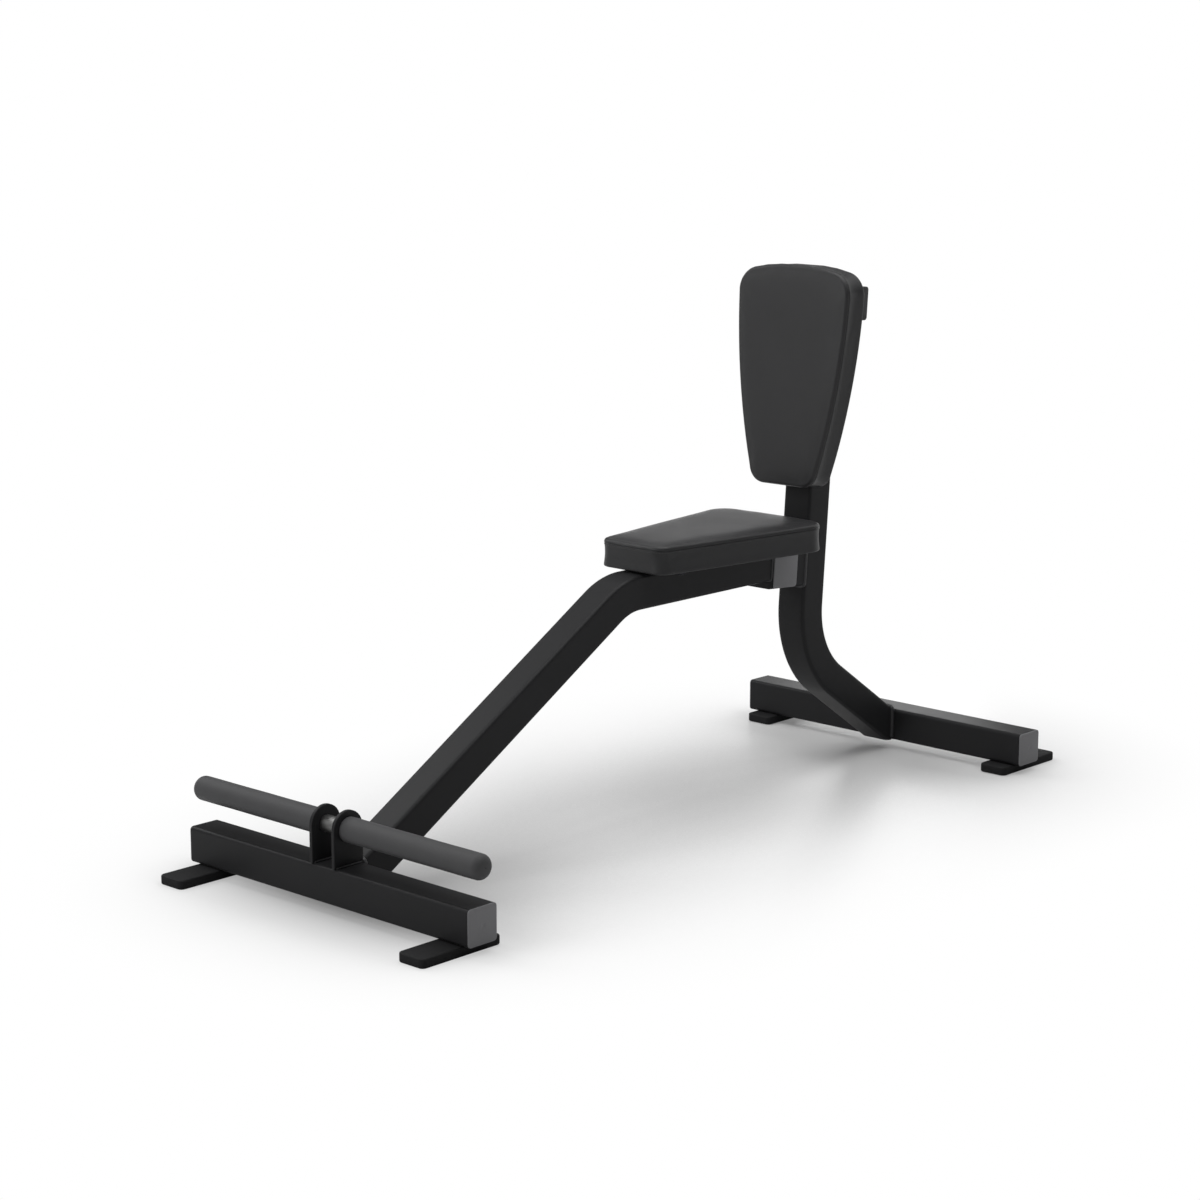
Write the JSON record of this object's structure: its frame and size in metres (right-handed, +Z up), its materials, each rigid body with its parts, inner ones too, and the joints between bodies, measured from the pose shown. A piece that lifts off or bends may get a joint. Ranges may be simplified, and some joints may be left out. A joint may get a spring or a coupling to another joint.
{
  "type": "utility bench",
  "caption": "Strength-training utility bench with a tapered fixed seat and back pad on a bent square-tube frame and a front footrest bar with grips.",
  "frame": {"origin": "on the floor, midway between the front and rear beams, on the bench's middle plane", "axes": "+X to the sitter's left, which is the picture's right, +Y from the footrest to the back rest, +Z up"},
  "size_m": [0.606, 1.494, 0.8547],
  "materials": {
    "frame_paint": "black powder coat, satin",
    "bare_steel": "plated, bright",
    "end_cap_plastic": "moulded, matte",
    "foot_rubber": "moulded, matte",
    "grip_rubber": "matte",
    "vinyl_cover": "satin, fine grain",
    "plywood": "bare",
    "zinc_plate": "plated, satin"
  },
  "bodies": {
    "root": {"back_board": "plywood", "back_bolt_lower_1": "zinc_plate", "back_bolt_lower_2": "zinc_plate", "back_bolt_upper_left": "zinc_plate", "back_bolt_upper_right": "zinc_plate", "back_cushion": "vinyl_cover", "back_tee_nut_lower_1": "zinc_plate", "back_tee_nut_lower_2": "zinc_plate", "back_tee_nut_upper_left": "zinc_plate", "back_tee_nut_upper_right": "zinc_plate", "beam_cap_front_left": "end_cap_plastic", "beam_cap_front_right": "end_cap_plastic", "beam_cap_rear_left": "end_cap_plastic", "beam_cap_rear_right": "end_cap_plastic", "crossbar": "frame_paint", "crossbar_cap_left": "end_cap_plastic", "crossbar_cap_right": "end_cap_plastic", "foot_front_left": "foot_rubber", "foot_front_right": "foot_rubber", "foot_rear_left": "foot_rubber", "foot_rear_right": "foot_rubber", "foot_screw_front_left_1": "zinc_plate", "foot_screw_front_left_2": "zinc_plate", "foot_screw_front_right_1": "zinc_plate", "foot_screw_front_right_2": "zinc_plate", "foot_screw_rear_left_1": "zinc_plate", "foot_screw_rear_left_2": "zinc_plate", "foot_screw_rear_right_1": "zinc_plate", "foot_screw_rear_right_2": "zinc_plate", "footrest_bar": "bare_steel", "footrest_ear_left": "frame_paint", "footrest_ear_right": "frame_paint", "front_beam": "frame_paint", "grip_left": "grip_rubber", "grip_right": "grip_rubber", "junction_plate": "frame_paint", "junction_stub": "frame_paint", "main_tube": "frame_paint", "rear_beam": "frame_paint", "seat_board": "plywood", "seat_bolt_front_left": "zinc_plate", "seat_bolt_front_right": "zinc_plate", "seat_bolt_rear_left": "zinc_plate", "seat_bolt_rear_right": "zinc_plate", "seat_cushion": "vinyl_cover", "seat_plate_front": "frame_paint", "seat_plate_rear": "frame_paint", "seat_tee_nut_front_left": "zinc_plate", "seat_tee_nut_front_right": "zinc_plate", "seat_tee_nut_rear_left": "zinc_plate", "seat_tee_nut_rear_right": "zinc_plate", "upright": "frame_paint"}
  },
  "joints": []
}
